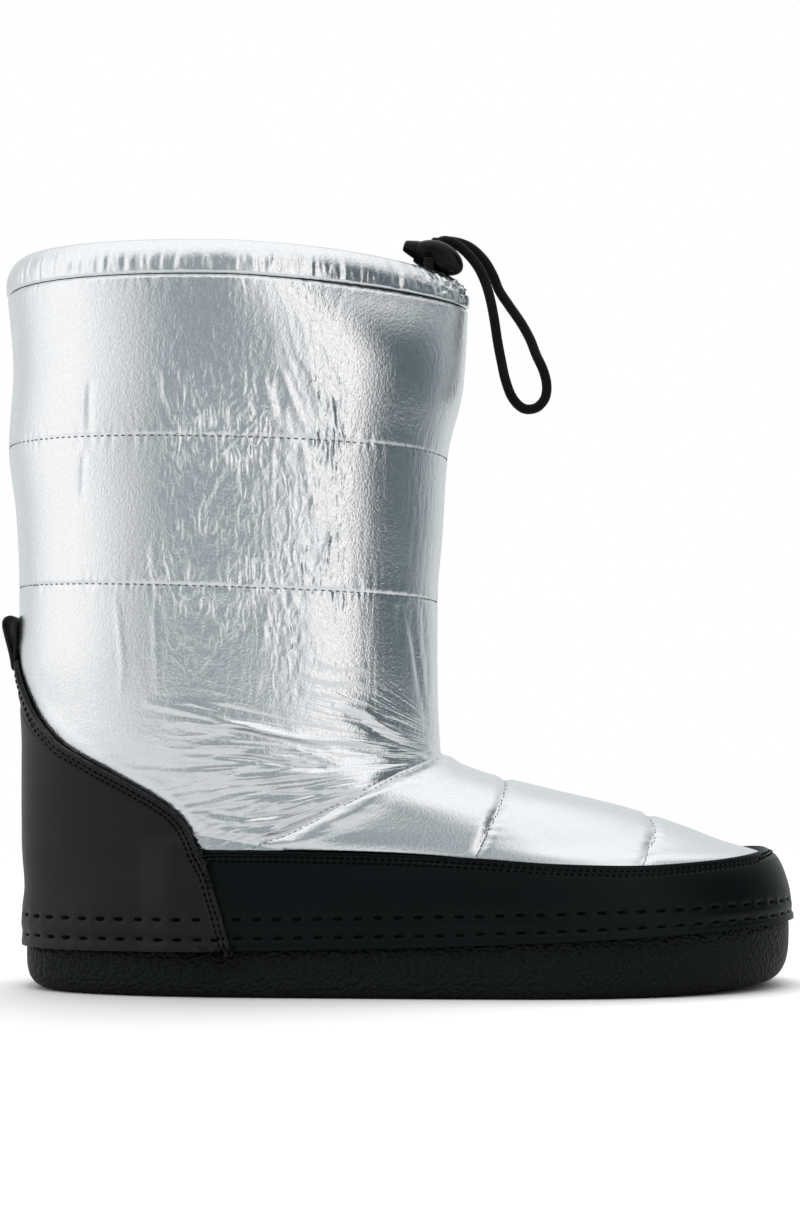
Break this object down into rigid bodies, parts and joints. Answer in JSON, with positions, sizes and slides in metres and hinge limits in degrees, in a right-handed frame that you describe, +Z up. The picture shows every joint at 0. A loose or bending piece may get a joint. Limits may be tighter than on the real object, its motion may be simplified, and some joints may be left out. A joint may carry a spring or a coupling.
{
  "type": "lined bootie",
  "caption": "Quilted silver lined snow bootie for a right foot, with black leather mudguard and heel counter, moulded rubber sole, gathered collar, drawcord loop and spring cord lock.",
  "frame": {"origin": "on the floor, under the centre of the bootie's bounding box", "axes": "+X towards the toe, +Y towards the medial side of the foot, +Z up"},
  "size_m": [0.2865, 0.112, 0.2722],
  "materials": {
    "silver_quilt": "silver foil-coated quilted fabric",
    "black_leather": "smooth satin",
    "black_rubber": "stippled matte",
    "grey_felt": "felt",
    "black_tape": "woven tape",
    "black_cord": "braided",
    "black_plastic": "satin moulded"
  },
  "bodies": {
    "boot": {"outsole": "black_rubber", "footbed": "grey_felt", "upper": "silver_quilt", "heel_counter": "black_leather", "mudguard": "black_leather", "pull_loop": "black_tape", "collar_casing": "silver_quilt", "cord_lock_body": "black_plastic", "drawcord_loop": "black_cord", "drawcord_lead_lateral": "black_cord", "drawcord_lead_medial": "black_cord"},
    "plunger": {"cord_lock_plunger": "black_plastic"}
  },
  "joints": [
    {"name": "plunger_press", "type": "slide", "parent": "boot", "child": "plunger", "axis": [0.9455, 0, -0.3256], "range_m": [0, 0.004], "stiffness_N_per_m": 1000, "springref_m": -0.002}
  ]
}
